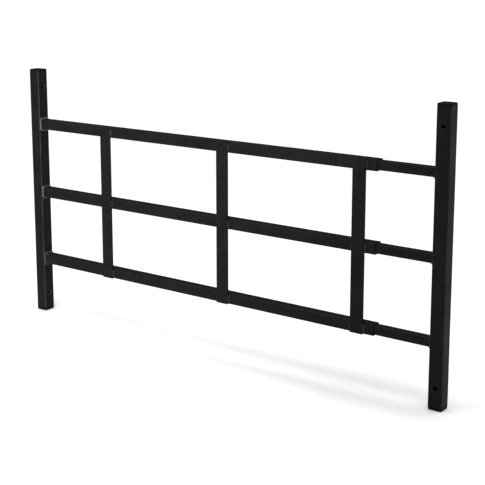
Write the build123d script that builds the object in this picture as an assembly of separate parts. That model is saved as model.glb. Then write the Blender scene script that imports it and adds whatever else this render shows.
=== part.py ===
from build123d import *
import os

# Expandable window guard: a welded three-rail grille whose right-hand post slides out on three
# smaller tubes, so that one guard fits openings of different widths.
#
# Millimetres. +X runs from the fixed post to the sliding post, -Y faces the room and +Z is up.
# The origin is in the middle of the fixed post's back face.

# ---------------------------------------------------------------- overall sizes
post_height = 508.0  # over both end caps
rail_spacing = 141.0  # between the centrelines of neighbouring rails
outer_rail_length = 785.0  # from the fixed post's inner face to the open end
extension = 106.0  # from the outer rails' open end to the sliding post, as drawn
slide_tube_set_back = 85.0  # how much shorter a slide tube is than its outer rail

# ---------------------------------------------------------------- square tubes
post_side = 25.0
post_wall = 1.5
post_corner = 2.0
outer_side = 20.0
outer_wall = 1.5
outer_corner = 2.0
slide_clearance = 0.5  # between a slide tube and its outer rail, each side
slide_wall = 1.2
slide_corner = 1.6
smallest_corner = 0.3  # a bore's corner radius where the wall is thicker than the corner
open_end_chamfer = 0.3  # round the outer rails' open ends and the slide tubes' inner ends

# ---------------------------------------------------------------- upright bars
bar_width = 25.0
bar_thickness = 4.0
bar_edge_radius = 0.6
bar_end_radius = 0.5
bar_pitch = 286.0
bar_end_setback = 19.0  # from the last bar's edge to the outer rails' open end

# ---------------------------------------------------------------- fixing holes
hole_diameter = 7.0
hole_countersink = 1.0  # depth of the 45 degree mouth on the side that the screw goes in from
hole_inset = 38.0  # from the end of the post, cap included

# ---------------------------------------------------------------- end caps
cap_head = 5.0
cap_crown = 1.0  # drop of the crowned top at the middle of each edge
cap_edge_step = 0.25  # how far the head stands in from the post's faces
cap_corner = 2.0
cap_plug_depth = 15.0
cap_plug_wall = 1.6
cap_plug_clearance = 0.3
cap_fin_clearance = 0.05
cap_fin_height = 1.2
cap_fin_places = (4.0, 8.0, 12.0)  # below the head

# ---------------------------------------------------------------- weld beads
rail_weld_throw = 5.0  # along the rail
rail_weld_top = 5.0  # up the post, above the rail
rail_weld_bottom = 5.0
slide_weld_throw = 5.0
slide_weld_top = 1.6
slide_weld_bottom = 5.0
weld_side_most = 2.5  # across the post, beside the rail
weld_margin = 0.3  # the bead stays this far inside the post's edge
weld_toe = 0.4  # thickness of the bead where it runs out on the rail
weld_corner = 1.5
bar_weld_leg = 3.0
bar_weld_end_gap = 1.0  # from the bead's end to the rail's rounded edge

# ---------------------------------------------------------------- places
rail_heights = {"upper": rail_spacing, "middle": 0.0, "lower": -rail_spacing}
bar_names = ("left", "centre", "right")

centre_y = -post_side / 2  # posts and rails share one plane
fixed_face = post_side / 2
rail_end = fixed_face + outer_rail_length
sliding_face = rail_end + extension
sliding_post_x = sliding_face + post_side / 2
rail_front = centre_y - outer_side / 2

slide_side = outer_side - 2 * outer_wall - 2 * slide_clearance
slide_tube_length = outer_rail_length - slide_tube_set_back
last_bar_x = rail_end - bar_end_setback - bar_width / 2
bar_height = 2 * rail_spacing + outer_side
bar_weld_length = outer_side - 2 * (outer_corner + bar_weld_end_gap)


def square_ring(side, wall, corner):
    """Cross-section of a square tube."""
    bore = side - 2 * wall
    bore_corner = max(corner - wall, smallest_corner)
    return RectangleRounded(side, side, corner) - RectangleRounded(bore, bore, bore_corner)


def post(x, screw_from):
    """Upright square tube with a countersunk hole through it near each end.

    screw_from is the direction that the screws' heads face.
    """
    length = post_height - 2 * cap_head
    tube = extrude(square_ring(post_side, post_wall, post_corner), length / 2, both=True)
    mouth = Plane(origin=post_side / 2 * screw_from, z_dir=screw_from)
    drill = mouth * Cylinder(hole_diameter / 2, 4 * post_side)
    wide, narrow = hole_diameter / 2 + hole_countersink, hole_diameter / 2
    sink = mouth * Pos(0, 0, -hole_countersink / 2) * Cone(narrow, wide, hole_countersink)
    hole_height = post_height / 2 - hole_inset
    for height in (hole_height, -hole_height):
        tube -= Pos(0, 0, height) * drill
        tube -= Pos(0, 0, height) * sink
    return Pos(x, centre_y, 0) * tube


def end_cap():
    """Plastic cap that points up, with its head's underside at height 0 and its plug below."""
    head_side = post_side - 2 * cap_edge_step
    head = extrude(RectangleRounded(head_side, head_side, cap_corner), cap_head)
    crown_radius = ((head_side / 2) ** 2 + cap_crown**2) / (2 * cap_crown)
    head &= Pos(0, 0, cap_head - crown_radius) * Sphere(crown_radius)

    bore = post_side - 2 * post_wall
    bore_corner = max(post_corner - post_wall, smallest_corner)
    plug_side = bore - 2 * cap_plug_clearance
    cap = head + extrude(square_ring(plug_side, cap_plug_wall, bore_corner), -cap_plug_depth)
    fin_side = bore - 2 * cap_fin_clearance
    fin_wall = cap_plug_clearance - cap_fin_clearance + cap_plug_wall / 2
    fin = extrude(square_ring(fin_side, fin_wall, bore_corner), cap_fin_height / 2, both=True)
    for place in cap_fin_places:
        cap += Pos(0, 0, -place) * fin
    return cap


def post_caps(x):
    """The two caps of one post, top and bottom."""
    seat = post_height / 2 - cap_head
    top = Pos(x, centre_y, seat) * end_cap()
    bottom = Pos(x, centre_y, -seat) * Rot(X=180) * end_cap()
    return top, bottom


def rail(start, end, side, wall, corner, height, free_end):
    """Level square tube between two places along X, with its free end chamfered.

    free_end is -1 where the tube's end towards +X is the free one, and 0 where it is the other.
    """
    section = Plane.YZ.offset(start) * Pos(centre_y, height) * square_ring(side, wall, corner)
    tube = extrude(section, end - start)
    rim = tube.faces().sort_by(Axis.X)[free_end].outer_wire().edges()
    return chamfer(rim, open_end_chamfer)


def upright_bar(x):
    """Flat bar lapped on the front of all three rails, level with their outer edges."""
    flat = extrude(RectangleRounded(bar_width, bar_thickness, bar_edge_radius), bar_height / 2, both=True)
    ends = flat.edges().group_by(Axis.Z)
    flat = fillet(ends[0] + ends[-1], bar_end_radius)
    return Pos(x, rail_front - bar_thickness / 2, 0) * flat


def tube_weld(face_x, direction, side, corner, throw, top, bottom, height):
    """Bead all round a tube where its end meets a post's face at face_x.

    direction is +1 where the tube leaves the post towards +X, and -1 towards -X.
    """
    across = min(weld_side_most, (post_side - side) / 2 - weld_margin)
    foot_outline = RectangleRounded(side + 2 * across, side + top + bottom, weld_corner)
    foot = Plane.YZ.offset(face_x) * Pos(centre_y, height + (top - bottom) / 2) * foot_outline
    toe_side = side + 2 * min(weld_toe, across)
    toe_outline = RectangleRounded(toe_side, toe_side, corner)
    toe = Plane.YZ.offset(face_x + direction * throw) * Pos(centre_y, height) * toe_outline
    tube = Plane.YZ.offset(face_x) * Pos(centre_y, height) * RectangleRounded(side, side, corner)
    return loft([foot, toe]) - extrude(tube, direction * throw)


def bar_welds(bar_x, height):
    """The two beads that hold a bar to one rail, one down each edge of the bar."""
    leg = min(bar_weld_leg, bar_thickness)
    straight = bar_weld_length - 2 * leg
    bead = Cylinder(leg, straight)
    bead += Pos(0, 0, straight / 2) * Sphere(leg)
    bead += Pos(0, 0, -straight / 2) * Sphere(leg)
    beads = []
    for side in (-1, 1):
        edge_x = bar_x + side * bar_width / 2
        corner = Box(leg, leg, bar_weld_length, align=(Align.CENTER, Align.MAX, Align.CENTER))
        quarter = bead & Pos(side * leg / 2, 0, 0) * corner
        beads.append(Pos(edge_x, rail_front, height) * quarter)
    return beads[0] + beads[1]


nodes = {}

# The fixed post is screwed sideways into the jamb, and the sliding post from the room side.
posts = (("left", 0.0, Vector(1, 0, 0)), ("right", sliding_post_x, Vector(0, -1, 0)))
for name, x, screw_from in posts:
    top_cap, bottom_cap = post_caps(x)
    nodes[f"{name}_post"] = post(x, screw_from)
    nodes[f"{name}_post_top_cap"] = top_cap
    nodes[f"{name}_post_bottom_cap"] = bottom_cap

for level, height in rail_heights.items():
    nodes[f"{level}_outer_rail"] = rail(
        fixed_face, rail_end, outer_side, outer_wall, outer_corner, height, -1
    )
    nodes[f"{level}_slide_tube"] = rail(
        sliding_face - slide_tube_length, sliding_face, slide_side, slide_wall, slide_corner, height, 0
    )
    nodes[f"{level}_rail_weld"] = tube_weld(
        fixed_face, 1, outer_side, outer_corner, rail_weld_throw, rail_weld_top, rail_weld_bottom, height
    )
    nodes[f"{level}_slide_weld"] = tube_weld(
        sliding_face, -1, slide_side, slide_corner,
        slide_weld_throw, slide_weld_top, slide_weld_bottom, height
    )

for index, name in enumerate(bar_names):
    x = last_bar_x - (len(bar_names) - 1 - index) * bar_pitch
    nodes[f"{name}_upright_bar"] = upright_bar(x)
    for level, height in rail_heights.items():
        nodes[f"{name}_bar_{level}_weld"] = bar_welds(x, height)

os.makedirs("parts", exist_ok=True)
for name, solid in nodes.items():
    export_step(solid, f"parts/{name}.step")
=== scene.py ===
import math

import bmesh
import bpy
from bpy.props import FloatProperty, FloatVectorProperty, PointerProperty
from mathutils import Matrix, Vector, noise


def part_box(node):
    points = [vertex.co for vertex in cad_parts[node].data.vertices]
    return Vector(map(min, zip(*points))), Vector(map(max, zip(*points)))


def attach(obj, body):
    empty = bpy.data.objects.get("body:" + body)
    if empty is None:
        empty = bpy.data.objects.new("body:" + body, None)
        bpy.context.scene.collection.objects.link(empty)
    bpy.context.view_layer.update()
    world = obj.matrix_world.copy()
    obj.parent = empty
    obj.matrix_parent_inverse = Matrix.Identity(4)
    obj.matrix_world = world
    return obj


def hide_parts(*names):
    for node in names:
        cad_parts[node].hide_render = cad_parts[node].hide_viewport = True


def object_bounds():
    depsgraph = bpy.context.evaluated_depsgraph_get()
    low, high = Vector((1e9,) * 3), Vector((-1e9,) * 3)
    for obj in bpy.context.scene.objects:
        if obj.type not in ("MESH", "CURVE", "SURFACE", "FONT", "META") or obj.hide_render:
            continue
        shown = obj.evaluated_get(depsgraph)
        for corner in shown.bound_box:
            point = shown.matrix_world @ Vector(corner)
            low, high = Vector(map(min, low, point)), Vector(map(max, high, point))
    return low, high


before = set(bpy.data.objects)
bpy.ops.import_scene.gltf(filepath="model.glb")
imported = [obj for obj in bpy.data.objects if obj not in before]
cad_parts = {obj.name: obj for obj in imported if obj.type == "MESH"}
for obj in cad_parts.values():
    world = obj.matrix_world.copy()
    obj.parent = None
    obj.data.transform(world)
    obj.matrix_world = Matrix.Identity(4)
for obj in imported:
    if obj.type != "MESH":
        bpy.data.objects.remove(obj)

bl_info = {
    "name": "Expandable Window Guard",
    "version": (1, 0, 0),
    "blender": (4, 5, 0),
    "location": "View3D > Sidebar > Window Guard",
    "description": "Finishes an expandable window guard: black powder coat, rippled welds, moulded end caps",
    "category": "Object",
}

MM = 0.001
FIXED, SLIDING = "fixed_frame", "sliding_frame"
LEVELS = ("upper", "middle", "lower")
BARS = ("left", "centre", "right")
WELD_SHINE = 9.0  # the coat runs smooth over a bead
CAD_LOW, CAD_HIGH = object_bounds()

# Cross-sections of the tubes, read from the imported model.
POST_LOW, POST_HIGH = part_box("left_post")
RAIL_LOW, RAIL_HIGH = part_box("middle_outer_rail")
SLIDE_LOW, SLIDE_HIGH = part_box("middle_slide_tube")
BAR_LOW, BAR_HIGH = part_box("centre_upright_bar")
POST_SIDE = POST_HIGH.x - POST_LOW.x
RAIL_SIDE = RAIL_HIGH.z - RAIL_LOW.z
SLIDE_SIDE = SLIDE_HIGH.z - SLIDE_LOW.z
RAIL_CENTRE_Y = (RAIL_LOW.y + RAIL_HIGH.y) / 2


# ------------------------------------------------------------------ settings
class WindowGuardPaint(bpy.types.PropertyGroup):
    """The black powder coat on the steel."""

    colour: FloatVectorProperty(
        name="Paint colour", description="Colour of the powder coat",
        subtype="COLOR", size=3, min=0, max=1, default=(0.0075, 0.0075, 0.0079))
    thin_colour: FloatVectorProperty(
        name="Thin paint colour", description="Colour where the coat is thin, on edges and weld ripples",
        subtype="COLOR", size=3, min=0, max=1, default=(0.02, 0.02, 0.0208))
    roughness: FloatProperty(
        name="Roughness", description="Roughness of clean paint",
        subtype="FACTOR", min=0, max=1, default=0.4)
    gloss: FloatProperty(
        name="Gloss", description="Strength of the paint's reflections",
        subtype="FACTOR", min=0, max=1, default=0.035)
    peel_size: FloatProperty(
        name="Orange peel size", description="Size of the dimples in the paint",
        subtype="DISTANCE", unit="LENGTH", min=0.0002, max=0.01, default=0.0013)
    peel_depth: FloatProperty(
        name="Orange peel depth", description="Depth of the dimples in the paint",
        subtype="DISTANCE", unit="LENGTH", min=0, max=0.0005, default=0.00003)


class WindowGuardWelds(bpy.types.PropertyGroup):
    """The weld beads."""

    ripple_pitch: FloatProperty(
        name="Ripple pitch", description="Distance from one ripple of a bead to the next",
        subtype="DISTANCE", unit="LENGTH", min=0.0005, max=0.005, default=0.0016)
    ripple_height: FloatProperty(
        name="Ripple height", description="Height of the ripples",
        subtype="DISTANCE", unit="LENGTH", min=0, max=0.001, default=0.00028)
    unevenness: FloatProperty(
        name="Unevenness", description="How much a bead's size wanders, as a share of the size",
        subtype="FACTOR", min=0, max=0.5, default=0.14)
    bar_leg: FloatProperty(
        name="Bar bead size", description="Leg of the beads beside the upright bars",
        subtype="DISTANCE", unit="LENGTH", min=0.001, max=0.006, default=0.003)


class WindowGuardCaps(bpy.types.PropertyGroup):
    """The plastic caps in the post ends."""

    colour: FloatVectorProperty(
        name="Plastic colour", description="Colour of the caps",
        subtype="COLOR", size=3, min=0, max=1, default=(0.0065, 0.0065, 0.0068))
    edge_radius: FloatProperty(
        name="Edge radius", description="Rounding of the head's upper edge",
        subtype="DISTANCE", unit="LENGTH", min=0.0001, max=0.002, default=0.0009)
    crown: FloatProperty(
        name="Crown", description="How far the middle of the top stands above its edges",
        subtype="DISTANCE", unit="LENGTH", min=0, max=0.002, default=0.001)


class WindowGuardStudio(bpy.types.PropertyGroup):
    """Floor, lights and camera."""

    view_side: FloatProperty(
        name="View from the side", description="How far the camera stands round to the sliding post's side",
        subtype="ANGLE", unit="ROTATION", default=math.radians(36.48))
    view_tilt: FloatProperty(
        name="Camera tilt", description="How far the camera looks down",
        subtype="ANGLE", unit="ROTATION", default=math.radians(10.6))
    view_distance: FloatProperty(
        name="Camera distance",
        description="Distance from the camera to the guard's plane, along its line of sight",
        subtype="DISTANCE", unit="LENGTH", min=0.2, max=10, default=2.0386)
    aim_right: FloatProperty(
        name="Aim right", description="How far right of the guard's middle the camera looks",
        subtype="DISTANCE", unit="LENGTH", default=0.0596)
    aim_up: FloatProperty(
        name="Aim up", description="How far above the guard's middle the camera looks",
        subtype="DISTANCE", unit="LENGTH", default=0.1017)
    lens: FloatProperty(
        name="Lens", description="Focal length in millimetres", min=20, max=300, default=84.44)
    shift_up: FloatProperty(
        name="Lens shift", description="Upward shift of the lens, as a share of the picture's width",
        min=-0.3, max=0.3, default=-0.15)
    floor_colour: FloatVectorProperty(
        name="Floor colour", description="Colour of the floor",
        subtype="COLOR", size=3, min=0, max=1, default=(0.88, 0.88, 0.88))
    daylight: FloatProperty(
        name="Overhead light", description="Strength of the wide soft light from straight above",
        min=0, default=3.7)
    key_power: FloatProperty(
        name="Key light", description="Strength of the small softbox in front of the fixed post, in watts",
        min=0, default=4)
    sky_strength: FloatProperty(
        name="Fill", description="Strength of the even light from all round", min=0, max=5, default=0.08)
    backdrop: FloatProperty(
        name="Backdrop", description="Brightness of the backdrop behind the floor",
        min=0, max=5, default=1.05)


# ------------------------------------------------------------------ materials
def new_material(name):
    material = bpy.data.materials.new(name)
    material.use_nodes = True
    nodes = material.node_tree.nodes
    return material, nodes, material.node_tree.links, nodes["Principled BSDF"]


def ramp(nodes, links, source, low, high, low_value=0.0, high_value=1.0):
    """Maps source from low..high to low_value..high_value, smoothly and within those limits."""
    node = nodes.new("ShaderNodeMapRange")
    node.interpolation_type = "SMOOTHSTEP"
    node.inputs["From Min"].default_value = low
    node.inputs["From Max"].default_value = high
    node.inputs["To Min"].default_value = low_value
    node.inputs["To Max"].default_value = high_value
    links.new(source, node.inputs["Value"])
    return node.outputs["Result"]


def noise_at(nodes, links, place, scale, detail=2.0, roughness=0.5):
    node = nodes.new("ShaderNodeTexNoise")
    node.inputs["Scale"].default_value = scale
    node.inputs["Detail"].default_value = detail
    node.inputs["Roughness"].default_value = roughness
    links.new(place, node.inputs["Vector"])
    return node.outputs["Fac"]


def maths(nodes, links, operation, first, second):
    node = nodes.new("ShaderNodeMath")
    node.operation = operation
    for socket, value in zip(node.inputs, (first, second)):
        if isinstance(value, (int, float)):
            socket.default_value = value
        else:
            links.new(value, socket)
    return node.outputs["Value"]


def mixed_colour(nodes, links, share, first, second):
    node = nodes.new("ShaderNodeMix")
    node.data_type = "RGBA"
    links.new(share, node.inputs["Factor"])
    for socket, colour in ((node.inputs["A"], first), (node.inputs["B"], second)):
        if isinstance(colour, bpy.types.NodeSocket):
            links.new(colour, socket)
        else:
            socket.default_value = (*colour, 1)
    return node.outputs["Result"]


def object_place(nodes, links, stretch=(1, 1, 1), offset=(0, 0, 0)):
    """Object coordinates, in metres, stretched and moved."""
    coordinates = nodes.new("ShaderNodeTexCoord")
    mapping = nodes.new("ShaderNodeMapping")
    mapping.inputs["Scale"].default_value = stretch
    mapping.inputs["Location"].default_value = offset
    links.new(coordinates.outputs["Object"], mapping.inputs["Vector"])
    return mapping.outputs["Vector"]


def rounded_edges(nodes, links):
    """1 on a tube's rounded corners, where the surface faces along no axis, and 0 on its flats."""
    coordinates = nodes.new("ShaderNodeTexCoord")
    absolute = nodes.new("ShaderNodeVectorMath")
    absolute.operation = "ABSOLUTE"
    split = nodes.new("ShaderNodeSeparateXYZ")
    links.new(coordinates.outputs["Normal"], absolute.inputs[0])
    links.new(absolute.outputs["Vector"], split.inputs["Vector"])
    widest = maths(nodes, links, "MAXIMUM", split.outputs["X"], split.outputs["Y"])
    widest = maths(nodes, links, "MAXIMUM", widest, split.outputs["Z"])
    return ramp(nodes, links, widest, 0.99, 0.8)


def powder_coat(name, paint, offset, rub=0.0, shine=1.0, edge_highlight=1.0):
    """Black powder coat: fine grain on orange peel, thin on edges, with faint dust and handling marks.

    rub adds the long scratches and polished streaks of a tube that slides in another. shine multiplies
    the paint's gloss, for a piece whose coat lies thicker and smoother. The last argument multiplies how
    light the thin paint on the rounded edges is; above 1 it paints a highlight along those corners.
    """
    material, nodes, links, shader = new_material(name)
    place = object_place(nodes, links, offset=offset)
    edges = rounded_edges(nodes, links)

    patches = noise_at(nodes, links, place, 14, detail=4)
    thin_edge = maths(nodes, links, "MULTIPLY", edges, ramp(nodes, links, patches, 0.35, 0.75, 0.25, 1.0))
    clouds = noise_at(nodes, links, place, 45, detail=5, roughness=0.6)
    cloud = ramp(nodes, links, clouds, 0.3, 0.8, 0.0, 0.35)
    thinness = maths(nodes, links, "MAXIMUM", thin_edge, cloud)
    colour = mixed_colour(nodes, links, thinness, paint.colour, paint.thin_colour)
    # Thin edge paint made lighter by the last argument: above 1 this is a painted highlight on the corners.
    highlight_edge_colour = tuple(channel * edge_highlight for channel in paint.thin_colour)
    colour = mixed_colour(nodes, links, thin_edge, colour, highlight_edge_colour)

    dust = ramp(nodes, links, noise_at(nodes, links, place, 420, detail=3, roughness=0.7), 0.66, 0.74)
    dust_share = maths(nodes, links, "MULTIPLY", dust, 0.1)
    colour = mixed_colour(nodes, links, dust_share, colour, (0.3, 0.29, 0.27))

    smear = ramp(nodes, links, noise_at(nodes, links, place, 26, detail=3), 0.3, 0.75, -0.06, 0.08)
    roughness = maths(nodes, links, "ADD", smear, paint.roughness)
    roughness = maths(nodes, links, "SUBTRACT", roughness, maths(nodes, links, "MULTIPLY", edges, 0.1))

    grain = noise_at(nodes, links, place, 1 / paint.peel_size, detail=2)
    fine = noise_at(nodes, links, place, 4.5 / paint.peel_size, detail=1)
    height = maths(nodes, links, "ADD", grain, maths(nodes, links, "MULTIPLY", fine, 0.25))

    if rub:
        streaks = object_place(nodes, links, stretch=(0.6, 24, 24), offset=offset)
        scratch = ramp(nodes, links, noise_at(nodes, links, streaks, 60, detail=6, roughness=0.75), 0.56, 0.7)
        scratch = maths(nodes, links, "MULTIPLY", scratch, rub)
        colour = mixed_colour(nodes, links, scratch, colour, (0.05, 0.05, 0.052))
        roughness = maths(nodes, links, "SUBTRACT", roughness, maths(nodes, links, "MULTIPLY", scratch, 0.12))
        height = maths(nodes, links, "SUBTRACT", height, maths(nodes, links, "MULTIPLY", scratch, 0.6))

    bump = nodes.new("ShaderNodeBump")
    bump.inputs["Strength"].default_value = 1.0
    bump.inputs["Distance"].default_value = paint.peel_depth
    links.new(height, bump.inputs["Height"])
    links.new(bump.outputs["Normal"], shader.inputs["Normal"])
    links.new(colour, shader.inputs["Base Color"])
    links.new(roughness, shader.inputs["Roughness"])
    shader.inputs["Specular IOR Level"].default_value = min(1.0, paint.gloss * shine)
    return material


def cap_plastic(caps):
    """Black moulded plastic with a fine spark-eroded grain, scuffed on its rim."""
    material, nodes, links, shader = new_material("end_cap_plastic")
    place = object_place(nodes, links)
    edges = rounded_edges(nodes, links)
    scuff = ramp(nodes, links, noise_at(nodes, links, place, 300, detail=6, roughness=0.7), 0.45, 0.7)
    scuff = maths(nodes, links, "MULTIPLY", maths(nodes, links, "MULTIPLY", edges, scuff), 0.6)
    colour = mixed_colour(nodes, links, scuff, caps.colour, (0.045, 0.045, 0.046))
    cloud = noise_at(nodes, links, place, 120, detail=3)
    links.new(colour, shader.inputs["Base Color"])
    links.new(ramp(nodes, links, cloud, 0.3, 0.7, 0.42, 0.56), shader.inputs["Roughness"])
    grain = nodes.new("ShaderNodeTexVoronoi")
    grain.inputs["Scale"].default_value = 3500
    links.new(place, grain.inputs["Vector"])
    bump = nodes.new("ShaderNodeBump")
    bump.inputs["Strength"].default_value = 0.6
    bump.inputs["Distance"].default_value = 0.00003
    links.new(grain.outputs["Distance"], bump.inputs["Height"])
    links.new(bump.outputs["Normal"], shader.inputs["Normal"])
    shader.inputs["Specular IOR Level"].default_value = 0.03
    return material


def floor_paint(colour):
    """Matt studio floor with a barely visible roller texture."""
    material, nodes, links, shader = new_material("studio_floor_paint")
    place = object_place(nodes, links)
    cloud = ramp(nodes, links, noise_at(nodes, links, place, 1.5, detail=2), 0.2, 0.8)
    darker = tuple(channel * 0.985 for channel in colour)
    links.new(mixed_colour(nodes, links, cloud, darker, colour), shader.inputs["Base Color"])
    bump = nodes.new("ShaderNodeBump")
    bump.inputs["Distance"].default_value = 0.0002
    links.new(noise_at(nodes, links, place, 400), bump.inputs["Height"])
    links.new(bump.outputs["Normal"], shader.inputs["Normal"])
    shader.inputs["Roughness"].default_value = 0.9
    shader.inputs["Specular IOR Level"].default_value = 0.1
    return material


# ------------------------------------------------------------------ mesh helpers
def rounded_square(half_width, half_height, corner, corner_points=6):
    """Points and outward normals of a rounded rectangle in its own plane, anticlockwise."""
    corner = min(corner, half_width * 0.999, half_height * 0.999)
    outline = []
    for quarter in range(4):
        centre_u = (half_width - corner) * (1 if quarter in (0, 3) else -1)
        centre_v = (half_height - corner) * (1 if quarter in (0, 1) else -1)
        for step in range(corner_points + 1):
            angle = (quarter + step / corner_points) * math.pi / 2
            normal = (math.cos(angle), math.sin(angle))
            outline.append(((centre_u + corner * normal[0], centre_v + corner * normal[1]), normal))
    return outline


def resampled(outline, spacing):
    """The same closed outline with its straight sides divided, no step longer than spacing."""
    dense = []
    for index, (point, normal) in enumerate(outline):
        following, next_normal = outline[(index + 1) % len(outline)]
        length = math.dist(point, following)
        steps = max(1, math.ceil(length / spacing))
        for step in range(steps):
            share = step / steps
            place = tuple(a + (b - a) * share for a, b in zip(point, following))
            turn = Vector(normal).lerp(Vector(next_normal), share).normalized()
            dense.append((place, tuple(turn)))
    return dense


def skin(mesh, rings, closed_path):
    """Quads between neighbouring rings, each ring a closed loop with the same number of points."""
    if len({len(ring) for ring in rings}) != 1:
        raise ValueError("The rings of a skin have different numbers of points")
    loops = [[mesh.verts.new(point) for point in ring] for ring in rings]
    count = len(loops[0])
    last = len(loops) if closed_path else len(loops) - 1
    for index in range(last):
        first, second = loops[index], loops[(index + 1) % len(loops)]
        for place in range(count):
            following = (place + 1) % count
            mesh.faces.new((first[place], first[following], second[following], second[place]))
    return loops


def finished_piece(name, mesh, material, body, nodes):
    """Makes the object from a bmesh, shades it, and lets it stand for its nodes on its body."""
    bmesh.ops.recalc_face_normals(mesh, faces=mesh.faces)
    data = bpy.data.meshes.new(name)
    mesh.to_mesh(data)
    mesh.free()
    data.materials.append(material)
    data.shade_smooth()
    piece = bpy.data.objects.new(name, data)
    bpy.context.scene.collection.objects.link(piece)
    data.set_sharp_from_angle(angle=math.radians(50))
    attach(piece, body)
    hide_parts(*nodes)
    return piece


def paint_nodes(names, material):
    """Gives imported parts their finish."""
    for name in names:
        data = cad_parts[name].data
        data.materials.clear()
        data.materials.append(material)


# ------------------------------------------------------------------ weld beads
def ripple(along, across, pitch):
    """Height share of a bead's overlapping crescents: along its length, and bowed across its width."""
    phase = (along + 0.35 * pitch * (1 - (2 * across - 1) ** 2)) / pitch
    return abs(math.sin(math.pi * phase))


def wander(place, seed, size):
    """A smooth change in -size..size."""
    return size * noise.noise(Vector((place * 90, seed, 0.37)))


def tube_weld(mesh, face_x, direction, centre_z, side, corner, legs, throw, seed, welds):
    """A rippled fillet all round a square tube, where it meets a post's face at face_x.

    legs are its heights on the post above, below and beside the tube, and throw its length on the tube.
    """
    top, bottom, beside = legs
    rows = 9
    sunk = 0.0001
    outline = resampled(rounded_square(side / 2, side / 2, corner), welds.ripple_pitch / 5)
    rings, along = [], 0.0
    for index, ((u, v), (normal_u, normal_v)) in enumerate(outline):
        previous = outline[index - 1][0]
        along += math.dist(previous, (u, v)) if index else 0.0
        upright = normal_v**2
        leg = upright * (top if normal_v > 0 else bottom) + (1 - upright) * beside
        uneven = 1 + wander(along, seed, welds.unevenness)
        leg *= uneven
        reach = throw * (0.55 + 0.45 * upright) * (1 + wander(along, seed + 5.1, welds.unevenness))
        ring = [(-sunk, -sunk), (leg, -sunk)]
        for row in range(rows):
            share = row / (rows - 1)
            angle = share * math.pi / 2
            out = leg * (1 - math.sin(angle) * 0.97) ** 0.9
            forward = reach * (1 - math.cos(angle) * 0.97) ** 0.9
            raised = welds.ripple_height * ripple(along, share, welds.ripple_pitch)
            fade = math.sin(math.pi * share) ** 0.5 if 0 < share < 1 else 0.0
            bulge = 0.16 * min(leg, reach) * math.sin(math.pi * share)
            out += (raised * fade + bulge) * math.cos(math.pi / 4)
            forward += (raised * fade + bulge) * math.cos(math.pi / 4)
            ring.append((out, forward))
        ring.append((-sunk, reach))
        points = []
        for out, forward in ring:
            points.append(Vector((
                face_x + direction * forward,
                RAIL_CENTRE_Y + u + normal_u * out,
                centre_z + v + normal_v * out,
            )))
        rings.append(points)
    skin(mesh, rings, closed_path=True)


def edge_bead(mesh, edge_x, direction, front_y, low_z, high_z, seed, welds):
    """A rippled bead down one edge of a bar, in the corner between the bar and a rail's front."""
    rows = 9
    sunk = 0.0001
    steps = max(12, round((high_z - low_z) / (welds.ripple_pitch / 7)))
    rings = []
    for step in range(steps + 1):
        share = step / steps
        z = low_z + (high_z - low_z) * share
        tip = min(share, 1 - share) * (high_z - low_z)
        taper = math.sqrt(max(0.0, 1 - max(0.0, 1 - tip / welds.bar_leg) ** 2))
        leg = welds.bar_leg * (0.06 + 0.9 * taper) * (1 + wander(z, seed, welds.unevenness) * 0.7)
        leg = min(leg, welds.bar_leg * 1.04)
        points = [(-sunk, -sunk), (leg, -sunk)]
        for row in range(rows):
            across = row / (rows - 1)
            angle = across * math.pi / 2
            fade = math.sin(math.pi * across)
            swell = leg * 0.82 + leg * 0.1 * abs(math.cos(2 * angle))
            swell += welds.ripple_height * taper * fade * (ripple(z, across, welds.ripple_pitch) - 0.5)
            points.append((swell * math.cos(angle), swell * math.sin(angle)))
        points.append((-sunk, leg))
        rings.append([
            Vector((edge_x + direction * out, front_y - forward, z)) for out, forward in points
        ])
    loops = skin(mesh, rings, closed_path=False)
    mesh.faces.new(loops[0])
    mesh.faces.new(reversed(loops[-1]))


# ------------------------------------------------------------------ end caps
def cap_profile(head_side, head_height, bore_side, plug_depth, caps):
    """Side length and height of each ring, from the crown's middle over the head to the plug's hollow."""
    edge, crown = caps.edge_radius, caps.crown
    shoulder = head_height - crown
    profile = []
    rings_on_top = 7
    flat_side = head_side - 2 * edge
    for ring in range(1, rings_on_top + 1):
        share = ring / rings_on_top
        profile.append((flat_side * share, shoulder + crown * (1 - share**2)))
    for step in range(1, 6):
        angle = step / 5 * math.pi / 2
        profile.append((flat_side + 2 * edge * math.sin(angle), shoulder - edge * (1 - math.cos(angle))))
    profile.append((head_side, 0.00025))
    profile.append((head_side - 0.0005, 0.0))
    plug = bore_side - 0.0006
    profile.append((plug, 0.0))
    fin_side, fin_height = bore_side - 0.0001, 0.0012
    fins = 3
    for fin in range(fins):
        middle = -plug_depth * (fin + 1) / (fins + 0.75)
        profile.append((plug, middle + fin_height))
        profile.append((fin_side, middle + fin_height * 0.25))
        profile.append((fin_side, middle - fin_height * 0.25))
        profile.append((plug, middle - fin_height * 0.5))
    profile.append((plug, -plug_depth + 0.0006))
    profile.append((plug - 0.0012, -plug_depth))
    hollow = plug - 0.0032
    profile.append((hollow, -plug_depth))
    profile.append((hollow, -0.0008))
    profile.append((hollow - 0.0014, -0.0002))
    return profile


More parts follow.
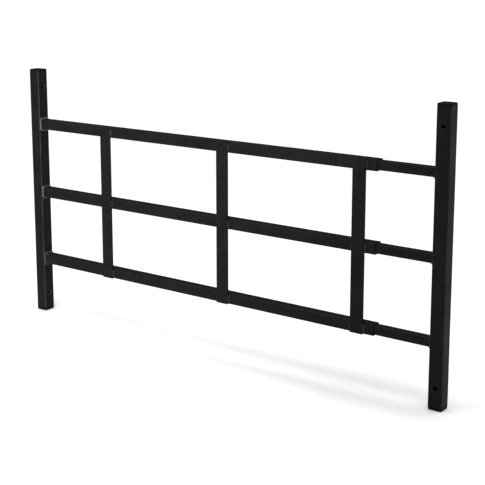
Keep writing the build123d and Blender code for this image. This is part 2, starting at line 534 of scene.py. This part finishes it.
def build_cap(name, node, caps, material, body):
    """One moulded cap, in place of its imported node: crowned head outside the post, finned plug inside."""
    low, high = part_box(node)
    centre_x = (low.x + high.x) / 2
    centre_y = (low.y + high.y) / 2
    upward = 1 if high.z > 0 else -1
    post_low, post_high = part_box(node.split("_post")[0] + "_post")
    seat = post_high.z if upward > 0 else post_low.z
    tip = high.z if upward > 0 else low.z
    head_height = abs(tip - seat)
    plug_depth = (high.z - low.z) - head_height
    head_side = high.x - low.x
    wall = 0.0015
    profile = cap_profile(head_side, head_height, POST_SIDE - 2 * wall, plug_depth, caps)
    mesh = bmesh.new()
    rings = []
    for side, height in profile:
        corner = min(0.002, side / 2 * 0.35)
        outline = rounded_square(side / 2, side / 2, corner, 5)
        rings.append([
            Vector((centre_x + u, centre_y + v, seat + upward * height)) for (u, v), _ in outline
        ])
    loops = skin(mesh, rings, closed_path=False)
    for loop in (loops[0], loops[-1]):
        centre = mesh.verts.new(sum((vertex.co for vertex in loop), Vector()) / len(loop))
        if loop is loops[0]:
            centre.co.z = seat + upward * head_height
        for place, vertex in enumerate(loop):
            mesh.faces.new((vertex, loop[(place + 1) % len(loop)], centre))
    return finished_piece(name, mesh, material, body, [node])


# ------------------------------------------------------------------ operators
class WINDOWGUARD_OT_posts(bpy.types.Operator):
    """Paint the two drilled square posts"""

    bl_idname = "windowguard.posts"
    bl_label = "Posts"

    def execute(self, context):
        paint = context.scene.window_guard_paint
        # The left post's rounded corners get a painted highlight: their thin edge paint is four times
        # lighter.
        paint_nodes(["left_post"], powder_coat("left_post_paint", paint, (0.3, 1.1, 0.2), edge_highlight=4.0))
        paint_nodes(["right_post"], powder_coat("right_post_paint", paint, (2.7, 0.4, 1.9)))
        return {"FINISHED"}


class WINDOWGUARD_OT_outer_rails(bpy.types.Operator):
    """Paint the three outer rails"""

    bl_idname = "windowguard.outer_rails"
    bl_label = "Outer rails"

    def execute(self, context):
        material = powder_coat("outer_rail_paint", context.scene.window_guard_paint, (5.2, 3.3, 0.8))
        paint_nodes([f"{level}_outer_rail" for level in LEVELS], material)
        return {"FINISHED"}


class WINDOWGUARD_OT_slide_tubes(bpy.types.Operator):
    """Paint the three slide tubes, rubbed where they slide"""

    bl_idname = "windowguard.slide_tubes"
    bl_label = "Slide tubes"

    def execute(self, context):
        paint = context.scene.window_guard_paint
        material = powder_coat("slide_tube_paint", paint, (1.4, 6.1, 4.6), rub=0.45)
        paint_nodes([f"{level}_slide_tube" for level in LEVELS], material)
        return {"FINISHED"}


class WINDOWGUARD_OT_upright_bars(bpy.types.Operator):
    """Paint the three flat upright bars"""

    bl_idname = "windowguard.upright_bars"
    bl_label = "Upright bars"

    def execute(self, context):
        material = powder_coat("upright_bar_paint", context.scene.window_guard_paint, (7.9, 0.6, 3.1))
        paint_nodes([f"{bar}_upright_bar" for bar in BARS], material)
        return {"FINISHED"}


class WINDOWGUARD_OT_end_caps(bpy.types.Operator):
    """Make the four moulded end caps"""

    bl_idname = "windowguard.end_caps"
    bl_label = "End caps"

    def execute(self, context):
        caps = context.scene.window_guard_caps
        material = cap_plastic(caps)
        for side, body in (("left", FIXED), ("right", SLIDING)):
            for end in ("top", "bottom"):
                node = f"{side}_post_{end}_cap"
                build_cap(f"moulded_{node}", node, caps, material, body)
        return {"FINISHED"}


class WINDOWGUARD_OT_post_welds(bpy.types.Operator):
    """Make the beads that hold the rails and the slide tubes to the posts"""

    bl_idname = "windowguard.post_welds"
    bl_label = "Post welds"

    def execute(self, context):
        welds = context.scene.window_guard_welds
        paint = context.scene.window_guard_paint
        material = powder_coat("post_weld_paint", paint, (0.9, 8.2, 5.5), shine=WELD_SHINE)
        joins = (
            ("rail_weld", "outer_rail", FIXED, 1, RAIL_SIDE, 0.002),
            ("slide_weld", "slide_tube", SLIDING, -1, SLIDE_SIDE, 0.0016),
        )
        for join, (suffix, tube, body, direction, side, corner) in enumerate(joins):
            for index, level in enumerate(LEVELS):
                node = f"{level}_{suffix}"
                low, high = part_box(node)
                tube_low, tube_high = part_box(f"{level}_{tube}")
                face_x = low.x if direction > 0 else high.x
                legs = (high.z - tube_high.z, tube_low.z - low.z, tube_low.y - low.y)
                legs = tuple(leg * 0.9 for leg in legs)
                mesh = bmesh.new()
                tube_weld(mesh, face_x, direction, (tube_low.z + tube_high.z) / 2, side, corner,
                          legs, (high.x - low.x) * 0.95, 3.7 * index + 11 * join, welds)
                finished_piece(f"rippled_{node}", mesh, material, body, [node])
        return {"FINISHED"}


class WINDOWGUARD_OT_bar_welds(bpy.types.Operator):
    """Make the beads that hold each upright bar to each rail"""

    bl_idname = "windowguard.bar_welds"
    bl_label = "Bar welds"

    def execute(self, context):
        welds = context.scene.window_guard_welds
        paint = context.scene.window_guard_paint
        material = powder_coat("bar_weld_paint", paint, (3.6, 2.2, 7.4), shine=WELD_SHINE)
        for column, bar in enumerate(BARS):
            bar_low, bar_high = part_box(f"{bar}_upright_bar")
            for row, level in enumerate(LEVELS):
                node = f"{bar}_bar_{level}_weld"
                low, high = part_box(node)
                mesh = bmesh.new()
                seed = 2.3 * column + 7.9 * row
                edge_bead(mesh, bar_low.x, -1, high.y, low.z, high.z, seed, welds)
                edge_bead(mesh, bar_high.x, 1, high.y, low.z, high.z, seed + 1.3, welds)
                finished_piece(f"rippled_{node}", mesh, material, FIXED, [node])
        return {"FINISHED"}


class WINDOWGUARD_OT_studio(bpy.types.Operator):
    """Make the floor, the lights and the camera"""

    bl_idname = "windowguard.studio"
    bl_label = "Studio"

    def execute(self, context):
        scene, studio = context.scene, context.scene.window_guard_studio
        middle = (CAD_LOW + CAD_HIGH) / 2
        self.add_camera(scene, studio, middle)
        self.add_floor(scene, studio, middle)
        self.add_lights(scene, studio, middle)
        return {"FINISHED"}

    def add_camera(self, scene, studio, middle):
        side, tilt = studio.view_side, studio.view_tilt
        sight = Vector((-math.sin(side) * math.cos(tilt), math.cos(side) * math.cos(tilt), -math.sin(tilt)))
        aim = middle + Vector((studio.aim_right, 0, studio.aim_up))
        data = bpy.data.cameras.new("studio_camera")
        data.lens = studio.lens
        data.sensor_width = 36
        data.shift_y = studio.shift_up
        camera = bpy.data.objects.new("studio_camera", data)
        camera.location = aim - sight * studio.view_distance
        camera.rotation_euler = sight.to_track_quat("-Z", "Y").to_euler()
        scene.collection.objects.link(camera)
        scene.camera = camera

    def add_floor(self, scene, studio, middle):
        half = 30.0
        mesh = bmesh.new()
        bmesh.ops.create_grid(mesh, x_segments=8, y_segments=8, size=half)
        data = bpy.data.meshes.new("studio_floor")
        mesh.to_mesh(data)
        mesh.free()
        data.materials.append(floor_paint(tuple(studio.floor_colour)))
        floor = bpy.data.objects.new("studio_floor", data)
        floor.location = (middle.x, middle.y, CAD_LOW.z)
        scene.collection.objects.link(floor)

    def add_lights(self, scene, studio, middle):
        world = bpy.data.worlds.new("studio_fill")
        scene.world = world
        world.use_nodes = True
        nodes, links = world.node_tree.nodes, world.node_tree.links
        background = nodes["Background"]
        background.inputs["Color"].default_value = (1, 1, 1, 1)
        # The backdrop is seen white, while the light that it gives is the fill.
        seen = nodes.new("ShaderNodeLightPath").outputs["Is Camera Ray"]
        extra = maths(nodes, links, "MULTIPLY", seen, max(0.0, studio.backdrop - studio.sky_strength))
        links.new(maths(nodes, links, "ADD", extra, studio.sky_strength), background.inputs["Strength"])
        sun = bpy.data.lights.new("overhead_light", "SUN")
        sun.energy = studio.daylight
        sun.angle = math.radians(60)
        lamp = bpy.data.objects.new("overhead_light", sun)
        scene.collection.objects.link(lamp)
        self.add_softbox(scene, "key_softbox", middle + Vector((-0.12, -0.6, 0.18)),
                         Vector((CAD_LOW.x, middle.y, 0.12)), 0.12, 0.4, studio.key_power)

    def add_softbox(self, scene, name, place, target, width, height, power):
        data = bpy.data.lights.new(name, "AREA")
        data.shape = "RECTANGLE"
        data.size, data.size_y = width, height
        data.energy = power
        light = bpy.data.objects.new(name, data)
        light.location = place
        light.rotation_euler = (target - place).to_track_quat("-Z", "Y").to_euler()
        light.visible_camera = False
        scene.collection.objects.link(light)


# ------------------------------------------------------------------ panel and registration
STEPS = (
    WINDOWGUARD_OT_studio,
    WINDOWGUARD_OT_posts,
    WINDOWGUARD_OT_outer_rails,
    WINDOWGUARD_OT_slide_tubes,
    WINDOWGUARD_OT_upright_bars,
    WINDOWGUARD_OT_end_caps,
    WINDOWGUARD_OT_post_welds,
    WINDOWGUARD_OT_bar_welds,
)
SETTINGS = {
    "window_guard_paint": WindowGuardPaint,
    "window_guard_welds": WindowGuardWelds,
    "window_guard_caps": WindowGuardCaps,
    "window_guard_studio": WindowGuardStudio,
}


class WINDOWGUARD_PT_panel(bpy.types.Panel):
    """Lists the guard's pieces and their settings"""

    bl_idname = "WINDOWGUARD_PT_panel"
    bl_label = "Window Guard"
    bl_space_type = "VIEW_3D"
    bl_region_type = "UI"
    bl_category = "Window Guard"

    def draw(self, context):
        for step in STEPS:
            self.layout.operator(step.bl_idname)
        for name in SETTINGS:
            group = getattr(context.scene, name)
            box = self.layout.box()
            for setting in group.bl_rna.properties.keys():
                if setting not in ("rna_type", "name"):
                    box.prop(group, setting)


def register():
    for group in SETTINGS.values():
        bpy.utils.register_class(group)
    for step in STEPS:
        bpy.utils.register_class(step)
    bpy.utils.register_class(WINDOWGUARD_PT_panel)
    for name, group in SETTINGS.items():
        setattr(bpy.types.Scene, name, PointerProperty(type=group))


def unregister():
    for name in SETTINGS:
        delattr(bpy.types.Scene, name)
    bpy.utils.unregister_class(WINDOWGUARD_PT_panel)
    for step in reversed(STEPS):
        bpy.utils.unregister_class(step)
    for group in reversed(SETTINGS.values()):
        bpy.utils.unregister_class(group)


def main():
    register()
    bpy.context.scene.view_settings.view_transform = "Standard"
    for step in STEPS:
        family, action = step.bl_idname.split(".")
        getattr(getattr(bpy.ops, family), action)()


if __name__ == "__main__":
    main()
